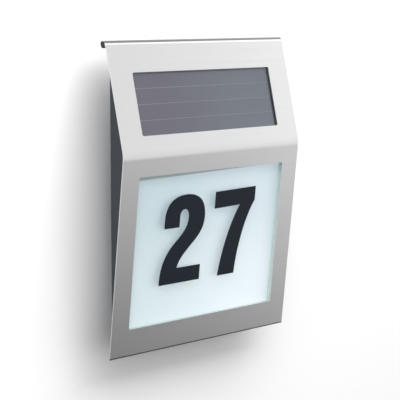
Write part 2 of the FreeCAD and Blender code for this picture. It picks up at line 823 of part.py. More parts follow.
def digit_7():
    top, right = digit_height, 47.0
    bar_top, bar_end, bar, shoulder = 72.0, 58.0, 58.8, 61.4
    return digit(seven_left, [
        [(0, bar_top), (0, bar_end)],
        [(0, bar_end), (29.7, bar)],
        [(29.7, bar), (19.4, 43.5), (12.2, 22.5), (9.1, 0)],
        [(9.1, 0), (28.4, 0)],
        [(28.4, 0), (29.9, 22.5), (36.2, 46.0), (right, shoulder)],
        [(right, shoulder), (right, top)],
        [(right, top), (0, bar_top)],
    ])


def tray_span():
    """Inside ends of the tray, as the battery and its contacts need them."""
    return battery_right - battery_length - minus_room, battery_right + plus_room


def deck_opening():
    """The hatchway in the deck, as x0, x1, z0, z1."""
    left, right = tray_span()
    return left, right, battery_z - tray_room, battery_z + tray_room


def battery_tray():
    left, right = tray_span()
    front = battery_axis_y - tray_room
    tray = block(left - tray_end_wall, right + tray_end_wall, front, -back_wall,
                 battery_z - tray_half, battery_z + tray_half)
    tray = tray.cut(block(left, right, front - past, battery_axis_y,
                          battery_z - tray_room, battery_z + tray_room))
    tray = tray.cut(rod(tray_room, V(left, battery_axis_y, battery_z), V(right, battery_axis_y, battery_z)))
    half_across, half_thick = contact_tab_slot[0] / 2, contact_tab_slot[1] / 2
    for x0, z in ((right, plus_tab_z()), (left - tray_end_wall, battery_z)):
        tray = tray.cut(block(x0 - past, x0 + tray_end_wall + past, lead_y - half_across,
                              lead_y + half_across, z - half_thick, z + half_thick))
    return one(tray)


def plus_tab_z():
    return battery_z + plus_tab_rise


def battery_can():
    y = battery_axis_y
    left = battery_right - battery_length
    can = rod(battery_radius, V(left, y, battery_z), V(battery_right - battery_nub, y, battery_z))
    ends = [edge for edge in can.Edges if edge.Closed]
    return can.makeFillet(battery_edge, ends)


def battery_cap():
    y = battery_axis_y
    return rod(battery_nub_radius, V(battery_right - battery_nub, y, battery_z),
               V(battery_right, y, battery_z))


def contact(wall_x, touch_x, bow_half, tab_z):
    """A bowed strip between the tray's end wall and the battery, with a solder tab through the wall."""
    y = battery_axis_y
    toward = math.copysign(1, touch_x - wall_x)
    base_x = wall_x + toward * contact_thickness
    height = contact_height / 2

    def arc(feet_x, tip_x, half):
        return Part.Arc(V(feet_x, y - half, battery_z - height), V(tip_x, y, battery_z - height),
                        V(feet_x, y + half, battery_z - height))

    outer = arc(base_x, touch_x, bow_half)
    inner = arc(base_x, touch_x - toward * contact_thickness, bow_half - contact_thickness)
    joins = [Part.LineSegment(outer.StartPoint, inner.StartPoint),
             Part.LineSegment(outer.EndPoint, inner.EndPoint)]
    edges = [curve.toShape() for curve in [outer, inner] + joins]
    bow = Part.Face(Part.Wire(Part.__sortEdges__(edges))).extrude(V(0, 0, contact_height))
    tab_across, tab_thick = contact_tab
    foot = bow_half + contact_foot
    base_xs = sorted((wall_x, base_x))
    top = max(battery_z + height, tab_z + tab_thick / 2)
    base = block(*base_xs, y - foot, y + foot, battery_z - height, top)
    tab_xs = sorted((wall_x, wall_x - toward * (tray_end_wall + contact_tab_reach)))
    tab = block(*tab_xs, lead_y - tab_across / 2, lead_y + tab_across / 2,
                tab_z - tab_thick / 2, tab_z + tab_thick / 2)
    return fuse(base, bow, tab)


def contact_plus():
    return contact(tray_span()[1], battery_right, contact_bow_plus, plus_tab_z())


def contact_minus():
    return contact(tray_span()[0], battery_right - battery_length, contact_bow_minus, battery_z)


def service_deck():
    half = inner_half - deck_side_gap
    front, back = deck_front, deck_back
    deck = block(-half, half, front, back, deck_bottom, deck_top)
    x0, x1, z0, z1 = deck_opening()
    lip_front = front - hatch_gap - hatch_thickness - hatch_gap - rail_lip
    inner_z = (z0 - hatch_overlap - hatch_gap, z1 + hatch_overlap + hatch_gap)
    left_end = x0 - hatch_overlap - hatch_gap - hatch_rail
    hatch_rail_end = x1 + hatch_overlap + hatch_travel + hatch_rail_spare
    lip_back = lip_front + rail_lip
    outer_z = (inner_z[0] - hatch_rail, inner_z[1] + hatch_rail)
    rails = [
        block(left_end, hatch_rail_end, lip_front, back, outer_z[0], inner_z[0]),
        block(left_end, hatch_rail_end, lip_front, lip_back, outer_z[0], inner_z[0] + rail_lip_reach),
        block(left_end, hatch_rail_end, lip_front, back, inner_z[1], outer_z[1]),
        block(left_end, hatch_rail_end, lip_front, lip_back, inner_z[1] - rail_lip_reach, outer_z[1]),
        block(left_end, left_end + hatch_rail, lip_front, back, *outer_z),
    ]
    deck = fuse(deck, *rails)
    deck = deck.cut(block(x0, x1, front - past, back + past, z0, z1))
    for x in (-wall_screw_x, wall_screw_x):
        deck = deck.cut(through(tunnel_radius, V(x, front, 0), V(x, back, 0)))
    for x, z in deck_screw_places():
        deck = deck.cut(through(screw_hole_radius, V(x, front, z), V(x, back, z)))
    return one(deck)


def deck_screws():
    return Part.makeCompound([
        pan_screw(V(x, deck_front, z), V(0, 1, 0), small_screw_radius, deck_screw_length,
                  small_head_radius, small_head_height)
        for x, z in deck_screw_places()])


def battery_hatch():
    """Flat lid in the deck's rails, with finger ribs. It slides to the right."""
    x0, x1, z0, z1 = deck_opening()
    back = deck_front - hatch_gap
    front = back - hatch_thickness
    lid = block(x0 - hatch_overlap, x1 + hatch_overlap, front, back,
                z0 - hatch_overlap, z1 + hatch_overlap)
    middle = (x0 + x1) / 2
    first = middle - hatch_rib_pitch * (hatch_rib_count - 1) / 2
    ribs = []
    for number in range(hatch_rib_count):
        x = first + number * hatch_rib_pitch
        ribs.append(block(x - hatch_rib_width / 2, x + hatch_rib_width / 2, front - hatch_rib_height, front,
                          battery_z - hatch_rib_length / 2, battery_z + hatch_rib_length / 2))
    return fuse(lid, *ribs)


def board_front():
    return -back_wall - board_standoff - board_thickness


def control_board():
    board = block(*board_x, board_front(), -back_wall - board_standoff, *board_z)
    for x, z in board_screws:
        board = board.cut(through(screw_hole_radius, V(x, board_front(), z), V(x, -back_wall, z)))
    return board


def control_board_screws():
    return Part.makeCompound([
        pan_screw(V(x, board_front(), z), V(0, 1, 0), small_screw_radius, board_screw_length,
                  small_head_radius, small_head_height)
        for x, z in board_screws])


def socket_places():
    """Middle of each lead socket on the board, as x and z: battery, lights, solar module, switch."""
    inset = socket_inset + socket_size[2] / 2
    upper_row, lower_row = board_z[1] - inset, board_z[0] + inset
    return list(zip(socket_xs, (upper_row, lower_row, upper_row, upper_row)))


def lead_sockets():
    return Part.makeCompound([on_board(x, z, *socket_size) for x, z in socket_places()])


def on_board(x, z, across, high, deep):
    """A box on the board's face."""
    return block(x - across / 2, x + across / 2, board_front() - high, board_front(),
                 z - deep / 2, z + deep / 2)


def can_on_board(place, radius, high):
    base = V(place[0], board_front(), sum(board_z) / 2 + place[1])
    return rod(radius, base, base - V(0, high, 0))


def control_chip():
    x, up = chip_place
    return on_board(x, sum(board_z) / 2 + up, *chip_size)


def inductor():
    coil = can_on_board(inductor_place, *inductor_size)
    front = board_front() - inductor_size[1]
    front_edges = [edge for edge in coil.Edges if edge.Closed and abs(edge.valueAt(0).y - front) < 0.01]
    return coil.makeFillet(inductor_edge, front_edges)


def capacitor():
    return can_on_board(capacitor_place, *capacitor_size)


def leads_battery():
    x, z = socket_places()[0]
    across, _, deep = socket_size
    left = tray_span()[0] - tray_end_wall - contact_tab_reach - lead_radius
    right = tray_span()[1] + tray_end_wall + contact_tab_reach
    over = battery_z + tray_half + lead_over_tray
    plus = lead([V(right, lead_y, plus_tab_z()), V(x - across / 2, lead_y, plus_tab_z())])
    minus = lead([V(left, lead_y, battery_z - contact_tab[1]), V(left, lead_y, over),
                  V(x, lead_y, over), V(x, lead_y, z + deep / 2)])
    return Part.makeCompound([plus, minus])


def leads_light():
    z = socket_places()[1][1] - socket_size[2] / 2
    return Part.makeCompound([lead([V(x, lead_y, led_lead_z() + solder_height), V(x, lead_y, z)])
                              for x in led_lead_xs()])


def leads_solar():
    socket_x, z = socket_places()[2]
    start = upper.yz(module[1] + terminal_from_end, module_rear + terminal_size[2])
    wires = []
    for side in (-1, 1):
        offset = side * lead_pitch / 2
        level = start[1] + offset
        end = V(socket_x + offset, lead_y, z + socket_size[2] / 2)
        wires.append(lead([V(end.x, start[0] + solar_lead_gap, level), V(end.x, lead_y, level), end]))
    return Part.makeCompound(wires)


def leads_switch():
    socket_x, z = socket_places()[3]
    body_x = inner_half - switch_body_size[0]
    wires = []
    for side in (-1, 1):
        offset = side * lead_pitch / 2
        level = switch_z - side * switch_lead_pitch
        wires.append(lead([V(body_x, lead_y, level), V(socket_x + offset, lead_y, level),
                           V(socket_x + offset, lead_y, z + socket_size[2] / 2)]))
    return Part.makeCompound(wires)


def switch_body():
    deep, across, high = switch_body_size
    body = block(inner_half - deep, inner_half, lead_y - across / 2, lead_y + across / 2,
                 switch_z - high / 2, switch_z + high / 2)
    flange = block(inner_half - switch_flange, inner_half, lead_y - across / 2, lead_y + across / 2,
                   switch_z - switch_flange_height / 2, switch_z + switch_flange_height / 2)
    face_x = inner_half - switch_face
    room = knob_foot_overhang + chamber_room
    body = fuse(body, flange)
    body = body.cut(block(face_x, inner_half + past, lead_y - knob_slot_side, lead_y + knob_slot_side,
                          switch_z - knob_slot_half, switch_z + knob_slot_half))
    body = body.cut(block(face_x - switch_chamber, face_x, lead_y - knob_slot_side - room,
                          lead_y + knob_slot_side + room, switch_z - knob_slot_half - room,
                          switch_z + knob_slot_half + room))
    for z in switch_screw_zs:
        body = body.cut(through(switch_screw_radius - self_tap_fit, V(inner_half, lead_y, z),
                                V(inner_half - switch_flange, lead_y, z)))
    return one(body)


def switch_knob():
    """It stands at the upper end of its slot, switched on."""
    middle = switch_z + switch_travel / 2
    half, side = knob_length / 2, knob_width / 2
    foot_x = inner_half - switch_face - knob_foot_gap
    tip_x = housing_half + knob_reach
    stem = block(foot_x, tip_x, lead_y - side, lead_y + side, middle - half, middle + half)
    for step in (-1, 0, 1):
        z = middle + step * knob_groove_pitch
        stem = stem.cut(block(tip_x - knob_groove, tip_x + past, lead_y - side - past, lead_y + side + past,
                              z - knob_groove, z + knob_groove))
    foot = block(foot_x - knob_foot_thickness, foot_x, lead_y - side - knob_foot_overhang,
                 lead_y + side + knob_foot_overhang, middle - half - knob_foot_overhang,
                 middle + half + knob_foot_overhang)
    return fuse(stem, foot)


def switch_screws():
    return Part.makeCompound([
        pan_screw(V(housing_half, lead_y, z), V(-1, 0, 0), switch_screw_radius - self_tap_fit,
                  side_wall + switch_flange, led_screw_head_radius, led_screw_head_height)
        for z in switch_screw_zs])


pieces = [
    front_plate, cover_tabs, cover_screws, hook_rail, rear_housing,
    solar_glass, solar_busbars, solar_back, solar_tape, solar_terminal,
    number_pane, number_tape, digit_2, digit_7, light_box, light_box_screws, diffuser, reflector,
    led_board, led_board_screws, leds,
    service_deck, deck_screws, battery_hatch, battery_tray, battery_can, battery_cap,
    contact_plus, contact_minus, control_board, control_board_screws, lead_sockets, control_chip,
    inductor, capacitor, leads_battery, leads_light, leads_solar, leads_switch,
    switch_body, switch_knob, switch_screws,
]

os.makedirs("parts", exist_ok=True)
shapes = {make.__name__: make() for make in pieces}
for number in range(cell_count):
    shapes["solar_cell_%d" % (number + 1)] = solar_cell(number)
for name, shape in shapes.items():
    assert shape.isValid(), name
    shape.exportStep("parts/%s.step" % name)
print("hinge axis at y %.3f, z %.3f" % (rail_y, rail_z))
print("%d nodes" % len(shapes))
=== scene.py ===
"""Looks of a solar house number sign: brushed steel front, lit number window and dark housing.

Metres, in the part's own frame: X along the wall to the right, Y into the wall, Z up.
The wall is at y = 0.
"""
import json
import math
from collections import Counter

import bmesh
import bpy
from mathutils import Matrix, Vector


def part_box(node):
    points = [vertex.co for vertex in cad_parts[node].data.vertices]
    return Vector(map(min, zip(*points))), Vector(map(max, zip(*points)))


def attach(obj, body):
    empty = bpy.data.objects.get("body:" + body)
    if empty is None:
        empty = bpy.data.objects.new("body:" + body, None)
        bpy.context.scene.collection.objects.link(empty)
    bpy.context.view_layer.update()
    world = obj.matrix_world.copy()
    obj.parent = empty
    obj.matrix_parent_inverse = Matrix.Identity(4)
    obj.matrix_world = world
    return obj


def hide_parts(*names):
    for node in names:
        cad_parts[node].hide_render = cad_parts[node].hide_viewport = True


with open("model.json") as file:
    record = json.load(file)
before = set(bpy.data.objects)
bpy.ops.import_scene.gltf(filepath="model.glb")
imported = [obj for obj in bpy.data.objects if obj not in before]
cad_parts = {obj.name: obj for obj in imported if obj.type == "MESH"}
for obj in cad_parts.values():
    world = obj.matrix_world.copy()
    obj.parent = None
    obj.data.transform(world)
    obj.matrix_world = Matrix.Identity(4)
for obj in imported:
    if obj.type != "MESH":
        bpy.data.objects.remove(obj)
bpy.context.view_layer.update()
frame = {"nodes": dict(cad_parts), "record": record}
nodes = frame["nodes"]
MM = 0.001

# ---- camera, as fitted to the photograph ----
CAMERA_PLACE = (-0.8369, -0.8564, 0.1137)
CAMERA_AZIMUTH = 44.64
CAMERA_ELEVATION = -7.46
CAMERA_ROLL = 0.046
CAMERA_LENS = 131.65
SENSOR = 36.0

# ---- stage and light ----
WALL_GAP = 24 * MM           # the backdrop hangs a little behind the sign, so its shadow is soft
STAGE_SIZE = 10.0
FLOOR_DROP = 0.75
STAGE_WHITE = (0.86, 0.86, 0.863)
STUDIO_LEVEL = 1.0
LOW_STUDIO = 0.04            # how bright the studio is below, as a share of its level
SIGN_MIDDLE = Vector((0, -15 * MM, -36 * MM))


class Value:
    """What a node puts out. Arithmetic on it adds the nodes that work it out."""

    def __init__(self, node_set, socket):
        self.node_set = node_set
        self.socket = socket

    def math(self, operation, *numbers):
        settings = {"operation": operation}
        return self.node_set.node("ShaderNodeMath", settings, dict(enumerate(numbers)))

    def __add__(self, other):
        return self.math("ADD", self, other)

    def __sub__(self, other):
        return self.math("SUBTRACT", self, other)

    def __rsub__(self, other):
        return self.math("SUBTRACT", other, self)

    def __mul__(self, other):
        return self.math("MULTIPLY", self, other)

    def __truediv__(self, other):
        return self.math("DIVIDE", self, other)

    def __pow__(self, other):
        return self.math("POWER", self, other)

    __radd__ = __add__
    __rmul__ = __mul__

    def abs(self):
        return self.math("ABSOLUTE", self)

    def fract(self):
        return self.math("FRACT", self)

    def rise(self, start, end):
        """0 at start, 1 at end and beyond it, smooth between them. End may be below start."""
        settings = {"interpolation_type": "SMOOTHSTEP"}
        low, high, flip = (start, end, (0.0, 1.0)) if start < end else (end, start, (1.0, 0.0))
        return self.node_set.node("ShaderNodeMapRange", settings,
                                  {"Value": self, "From Min": low, "From Max": high,
                                   "To Min": flip[0], "To Max": flip[1]})


class NodeSet:
    """The nodes of a material, of the world or of a Geometry Nodes tree."""

    def __init__(self, tree):
        self.nodes = tree.nodes
        self.links = tree.links

    def put(self, socket, value):
        if isinstance(value, Value):
            self.links.new(value.socket, socket)
        elif isinstance(value, tuple) and len(value) == 3 and len(socket.default_value) == 4:
            socket.default_value = (*value, 1.0)
        else:
            socket.default_value = value

    def node(self, kind, settings=None, values=None, output=0):
        made = self.nodes.new(kind)
        for name, setting in (settings or {}).items():
            setattr(made, name, setting)
        for name, value in (values or {}).items():
            self.put(made.inputs[name], value)
        return Value(self, made.outputs[output])

    def shader(self, kind, **values):
        return self.node(kind, values={name.title(): value for name, value in values.items()})

    def blend(self, share, first, second):
        return self.node("ShaderNodeMixShader", values={0: share, 1: first, 2: second})


MIX_COLOURS = (6, 7)         # the Mix node's two colour sockets


class Finish(NodeSet):
    """A material and the nodes that feed it."""

    def __init__(self, name, colour, roughness, **more):
        self.material = bpy.data.materials.new(name)
        self.material.use_nodes = True
        super().__init__(self.material.node_tree)
        self.surface = self.nodes["Principled BSDF"]
        self.set("Base Color", colour)
        self.set("Roughness", roughness)
        for socket, value in more.items():
            self.set(socket.replace("_", " ").title().replace("Ior", "IOR"), value)

    def set(self, name, value):
        self.put(self.surface.inputs[name], value)

    def show(self, shader):
        """Shows this shader in place of the usual one."""
        self.links.new(shader.socket, self.nodes["Material Output"].inputs["Surface"])
        self.nodes.remove(self.surface)

    def place(self):
        return self.node("ShaderNodeTexCoord", output="Object")

    def axes(self):
        parts = self.node("ShaderNodeSeparateXYZ", values={0: self.place()}).socket.node
        return [Value(self, parts.outputs[axis]) for axis in "XYZ"]

    def noise(self, scale, detail=2.0, crowding=(1, 1, 1), roughness=0.5):
        """Noise whose grains are 1 / (scale * crowding) across, along each axis."""
        settings = {"operation": "MULTIPLY"}
        vector = self.node("ShaderNodeVectorMath", settings, {0: self.place(), 1: crowding})
        return self.node("ShaderNodeTexNoise", {"normalize": True},
                         {"Vector": vector, "Scale": scale, "Detail": detail,
                          "Roughness": roughness})

    def mix(self, share, first, second):
        """A colour from first, at share 0, to second, at share 1."""
        settings = {"data_type": "RGBA", "clamp_factor": True}
        made = self.node("ShaderNodeMix", settings, {0: share}, output=2)
        for index, colour in zip(MIX_COLOURS, (first, second)):
            self.put(made.socket.node.inputs[index], colour)
        return made

    def bump(self, height, depth, edge=None):
        """Raises the surface by height * depth, and eases the piece's edges over this width."""
        values = {"Height": height, "Distance": depth, "Strength": 1.0}
        if edge:
            values["Normal"] = self.node("ShaderNodeBevel", {"samples": 4}, {"Radius": edge})
        self.set("Normal", self.node("ShaderNodeBump", values=values))


# ---- finishes ----
STEEL = (0.722, 0.724, 0.728)
# heights on the steel front of its painted highlight and painted shade bands, as where a band
# begins and where it is full
FOLD_HIGHLIGHT = (0.0860, 0.0864)
FOLD_SHADE = (0.0873, 0.0876)
BOTTOM_EDGE_SHADE = (-0.1588, -0.1591)

# the opal sheet's painted glow and painted shade, by its x and z
OPAL_HALF_WIDTH = 0.082
OPAL_FOOT = -0.130
OPAL_HEAD = -0.022
OPAL_SLANT = 0.0195          # rise of its top edge to the right
OPAL_TOP_EDGE = (-0.0184, -0.0178)

HOLE_PITCH = 2.54 * MM
SHEET_GLOSS = 0.03
GLASS_IOR = 1.45


def shaded(tone, share):
    """A tone made darker, by a share under 1, or paler."""
    return tuple(share * part for part in tone)


def brushed_steel(name):
    """Stainless sheet brushed along its width.

    Painted highlights whiten its rounded cut edges and a band under the top fold.
    Painted shade darkens the top fold and the bottom edge,
    and painted light makes the sheet paler to the right.
    """
    finish = Finish(name, STEEL, 0.3, metallic=1.0)
    fine = finish.noise(1.0, 3.0, (25, 3200, 3200), 0.6)
    broad = finish.noise(1.0, 2.0, (6, 420, 420), 0.5)
    edge = finish.node("ShaderNodeAttribute", {"attribute_name": "cut_edge"}, output=2)
    across, _, up = finish.axes()
    finish.set("Roughness", 0.25 + 0.1 * fine)
    # painted light: the sheet is made paler towards the right, as if lit from that side
    sheet = finish.mix(across.rise(-0.12, 0.12), STEEL, shaded(STEEL, 1.1))
    sheet = finish.mix(0.4 * broad + 0.6 * fine, shaded(STEEL, 0.93), sheet)
    # painted highlight: the rounded cut edges are painted white
    sheet = finish.mix(edge, sheet, (1.0, 1.0, 1.0))
    # painted highlight: a bright band just under the top fold
    sheet = finish.mix(up.rise(*FOLD_HIGHLIGHT), sheet, (0.99, 0.99, 0.99))
    # painted shade: a dark band along the bottom edge
    sheet = finish.mix(up.rise(*BOTTOM_EDGE_SHADE), sheet, (0.15, 0.15, 0.16))
    # painted shade: a dark line along the top fold
    finish.set("Base Color", finish.mix(up.rise(*FOLD_SHADE), sheet, (0.26, 0.26, 0.27)))
    finish.bump(fine * 0.8 + broad * 0.2, 0.008 * MM)
    return finish.material


def plated_steel(name, tone, roughness):
    """Plated or drawn metal, a little cloudy in tone and gloss."""
    finish = Finish(name, tone, roughness, metallic=1.0)
    cloud = finish.noise(700, 3.0)
    finish.set("Roughness", roughness - 0.06 + 0.14 * cloud)
    finish.set("Base Color", finish.mix(cloud, shaded(tone, 0.82), tone))
    finish.bump(finish.noise(2500, 2.0), 0.006 * MM, edge=0.12 * MM)
    return finish.material


def moulded(name, tone, roughness, grain, lift=1.25, shine=0.5):
    """Moulded plastic with a spark-eroded grain and a little unevenness in its gloss."""
    finish = Finish(name, tone, roughness, specular_ior_level=shine)
    cloud = finish.noise(60, 3.0)
    pits = finish.noise(2400, 2.0, roughness=0.7)
    finish.set("Base Color", finish.mix(cloud * 0.7 + pits * 0.3, tone, shaded(tone, lift)))
    finish.set("Roughness", roughness - 0.06 + 0.14 * pits)
    finish.bump(pits, grain * MM, edge=0.35 * MM)
    return finish.material


def film(name, tone, roughness, coat):
    """Smooth film or lacquer under a clear coat."""
    finish = Finish(name, tone, roughness, coat_weight=coat, coat_roughness=0.1)
    cloud = finish.noise(90, 2.0)
    finish.set("Base Color", finish.mix(cloud, shaded(tone, 0.93), tone))
    finish.bump(finish.noise(900, 2.0), 0.004 * MM)
    return finish.material


def clear_sheet(name, tint):
    """Clear glass or acrylic: what is behind it shows through, and a slant reflects more."""
    finish = Finish(name, tint, SHEET_GLOSS)
    outside = 1 - finish.node("ShaderNodeNewGeometry", output="Backfacing")
    shine = finish.node("ShaderNodeFresnel", values={"IOR": GLASS_IOR}) * outside
    finish.show(finish.blend(shine, finish.shader("ShaderNodeBsdfTransparent", color=tint),
                             finish.shader("ShaderNodeBsdfGlossy", roughness=SHEET_GLOSS)))
    return finish.material


def solar_film(name):
    """Thin-film cell: purple grey to the left, bluer to the right, with faint upright bands."""
    finish = Finish(name, (0.15, 0.135, 0.16), 0.35, coat_weight=0.3, coat_roughness=0.08)
    across = finish.axes()[0].rise(-0.05, 0.045)
    cloud = finish.noise(40, 3.0, (0.6, 1, 1))
    bands = finish.noise(420, 1.0, (1, 0.04, 0.04))
    tone = finish.mix(across * 0.8 + cloud * 0.4 - 0.1,
                      (0.164, 0.134, 0.166), (0.196, 0.212, 0.232))
    finish.set("Base Color", finish.mix(bands * 0.35, tone, (0.14, 0.126, 0.15)))
    finish.set("Roughness", 0.32 + 0.08 * cloud)
    finish.bump(cloud, 0.004 * MM)
    return finish.material


def opal(name):
    """Opal sheet whose glow from the lamps behind it is painted into its emission,
    brighter towards the lamps at its foot and to the right, and green at its two sides.

    Above its slanting top edge it is painted unlit.
    """
    finish = Finish(name, (0.60, 0.645, 0.665), 0.45)
    across, _, up = finish.axes()
    right = across.rise(-OPAL_HALF_WIDTH, OPAL_HALF_WIDTH)
    # painted light: the glow is brighter to the right and towards the foot
    top = finish.mix(right, (0.180, 0.262, 0.298), (0.295, 0.362, 0.415))
    foot = finish.mix(right, (0.310, 0.378, 0.400), (0.480, 0.515, 0.555))
    lit = finish.mix(up.rise(OPAL_FOOT, OPAL_HEAD), foot, top)
    # painted shade: darker and green towards its two sides, where the box walls keep the light off
    side_shade = across.rise(-0.072, -0.083) * 0.85 + across.rise(0.0805, 0.083) * 0.3
    lit = finish.mix(side_shade, lit, (0.16, 0.25, 0.22))
    # painted shade: above the slanting top edge the glow is dark
    unlit = (up - across * OPAL_SLANT).rise(*OPAL_TOP_EDGE)
    finish.set("Emission Color", finish.mix(unlit, lit, (0.03, 0.045, 0.04)))
    finish.set("Emission Strength", 1.0)
    finish.bump(finish.noise(1200, 2.0), 0.004 * MM)
    return finish.material


def lamp_chip(name):
    """Side-lit lamp: pale housing with a yellow phosphor face that shines."""
    finish = Finish(name, (0.9, 0.86, 0.6), 0.3)
    cloud = finish.noise(900, 2.0)
    finish.set("Base Color", finish.mix(cloud, (0.9, 0.82, 0.5), (0.93, 0.9, 0.72)))
    finish.set("Emission Color", finish.mix(cloud, (0.85, 0.92, 1.0), (1.0, 0.97, 0.85)))
    finish.set("Emission Strength", 2.0)
    return finish.material


def circuit_board(name, mask, copper):
    """Solder mask over copper tracks, with plated holes on a grid, their insides painted dark as
    shade.
    """
    finish = Finish(name, mask, 0.3, coat_weight=0.4, coat_roughness=0.15)
    x, _, z = finish.axes()
    dx = (x / HOLE_PITCH).fract() - 0.5
    dz = (z / HOLE_PITCH).fract() - 0.5
    radius = (dx * dx + dz * dz) ** 0.5
    kept = finish.noise(260, 0.0).rise(0.52, 0.54)
    ring = radius.rise(0.2, 0.17) * kept
    hole = radius.rise(0.1, 0.08) * kept
    tracks = ((finish.noise(130, 0.0, (1, 1, 0.3)) * 14).fract() - 0.5).abs().rise(0.36, 0.42)
    tone = finish.mix(tracks, mask, shaded(mask, 1.5))
    tone = finish.mix(ring, tone, copper)
    # painted shade: each hole is a dark dot, with no hole cut through the board
    finish.set("Base Color", finish.mix(hole, tone, (0.01, 0.01, 0.01)))
    finish.set("Metallic", ring)
    finish.bump(tracks + ring, 0.02 * MM)
    return finish.material


def battery_wrap(name):
    """Shrink sleeve: plain green with a darker band at the positive end and fine wrinkles."""
    finish = Finish(name, (0.04, 0.2, 0.08), 0.3, coat_weight=0.5, coat_roughness=0.1)
    along = finish.axes()[0]
    band = along.rise(-0.0150, -0.0148)
    grain = finish.noise(500, 2.0, (1, 3, 3))
    tone = finish.mix(grain, (0.035, 0.17, 0.07), (0.05, 0.24, 0.1))
    finish.set("Base Color", finish.mix(band, tone, (0.02, 0.021, 0.022)))
    finish.bump(grain, 0.02 * MM)
    return finish.material


def insulation(name, first, second, second_side):
    """Insulation of a pair of leads.

    second_side gives, from a point's x and z, how much it is on the second lead.
    """
    finish = Finish(name, first, 0.42)
    x, _, z = finish.axes()
    sheen = finish.noise(1200, 2.0)
    finish.set("Base Color", finish.mix(second_side(x, z), first, second))
    finish.set("Roughness", 0.36 + 0.12 * sheen)
    finish.bump(sheen, 0.01 * MM)
    return finish.material


LEAD_RED = (0.42, 0.02, 0.02)
LEAD_BLACK = (0.02, 0.02, 0.02)


FINISHES = {
    "steel_front": brushed_steel,
    "screw_steel": lambda name: plated_steel(name, (0.66, 0.66, 0.66), 0.22),
    "black_rail": lambda name: moulded(name, (0.008, 0.008, 0.009), 0.35, 0.006),
    "housing_black": lambda name: moulded(name, (0.021, 0.027, 0.036), 0.48, 0.02),
    "module_glass": lambda name: clear_sheet(name, (0.93, 0.95, 0.97)),
    "solar_cell": solar_film,
    "busbar": lambda name: plated_steel(name, (0.42, 0.42, 0.44), 0.4),
    "module_back": lambda name: film(name, (0.40, 0.40, 0.43), 0.5, 0.2),
    "foam_tape": lambda name: moulded(name, (0.02, 0.02, 0.02), 0.8, 0.05),
    "white_tape": lambda name: moulded(name, (0.6, 0.68, 0.65), 0.6, 0.03, 1.05),
    "terminal_black": lambda name: moulded(name, (0.018, 0.018, 0.019), 0.45, 0.01),
    "clear_pane": lambda name: clear_sheet(name, (0.985, 0.992, 0.988)),
    "digit_grey": lambda name: moulded(name, (0.009, 0.0145, 0.0225), 0.55, 0.006, 1.3, shine=0.2),
    "white_box": lambda name: moulded(name, (0.66, 0.74, 0.71), 0.42, 0.008, 1.04),
    "opal": opal,
    "reflector_white": lambda name: film(name, (0.9, 0.91, 0.91), 0.35, 0.3),
    "led_board_white": lambda name: film(name, (0.82, 0.83, 0.83), 0.3, 0.4),
    "led": lamp_chip,
    "battery_sleeve": battery_wrap,
    "nickel": lambda name: plated_steel(name, (0.62, 0.6, 0.55), 0.2),
    "board_green": lambda name: circuit_board(name, (0.015, 0.13, 0.06), (0.75, 0.6, 0.3)),
    "socket_white": lambda name: moulded(name, (0.78, 0.76, 0.68), 0.4, 0.006, 1.04),
    "chip_black": lambda name: moulded(name, (0.015, 0.015, 0.016), 0.5, 0.01),
    "ferrite": lambda name: moulded(name, (0.04, 0.04, 0.042), 0.6, 0.03),
    "capacitor_can": lambda name: plated_steel(name, (0.55, 0.56, 0.58), 0.3),
    "lead_red": lambda name: insulation(
        name, LEAD_BLACK, LEAD_RED,
        lambda x, z: x.rise(1.6 * MM, 1.8 * MM) * z.rise(6.1 * MM, 5.9 * MM)),
    "lead_white": lambda name: insulation(name, LEAD_RED, (0.66, 0.66, 0.64),
                                          lambda x, z: x.rise(29.9 * MM, 30.1 * MM)),
    "lead_blue": lambda name: insulation(name, (0.02, 0.05, 0.28), (0.55, 0.35, 0.03),
                                         lambda x, z: x.rise(44.9 * MM, 45.1 * MM)),
    "switch_black": lambda name: moulded(name, (0.014, 0.014, 0.016), 0.35, 0.006),
    "knob_grey": lambda name: moulded(name, (0.16, 0.17, 0.18), 0.4, 0.008),
    "board_steel": lambda name: plated_steel(name, (0.56, 0.55, 0.5), 0.3),
}


def dress_cad_nodes():
    """Gives each CAD node the finish of its material slot."""
    made = {slot: finish(slot) for slot, finish in FINISHES.items()}
    for part in frame["record"]["subparts"]:
        for slot in nodes[part["node"]].material_slots:
            slot.material = made[part["material_slot"]]
    return made


def add_object(name, data):
    """A new object with this data, in the scene."""
    made = bpy.data.objects.new(name, data)
    bpy.context.scene.collection.objects.link(made)
    return made


# ---- pieces with eased edges, in place of the CAD ones ----
MERGE_WITHIN = 0.001 * MM
FLAT_WITHIN = math.radians(0.5)
SHARP_FROM = math.radians(30)
EDGE_ROUNDING = 0.22 * MM
BOTTOM_ROUNDING = 0.52 * MM
SHEET_ROUNDING = 0.25 * MM
SHEET_SHRINK = 0.02 * MM


def sharp_edges(shape, wanted=None):
    return [edge for edge in shape.edges if len(edge.link_faces) == 2
            and edge.calc_face_angle() > SHARP_FROM and (not wanted or wanted(edge))]


def round_off(shape, edges, width, segments):
    return bmesh.ops.bevel(shape, geom=edges, offset=width, segments=segments,
                           affect="EDGES", profile=0.5, clamp_overlap=True)


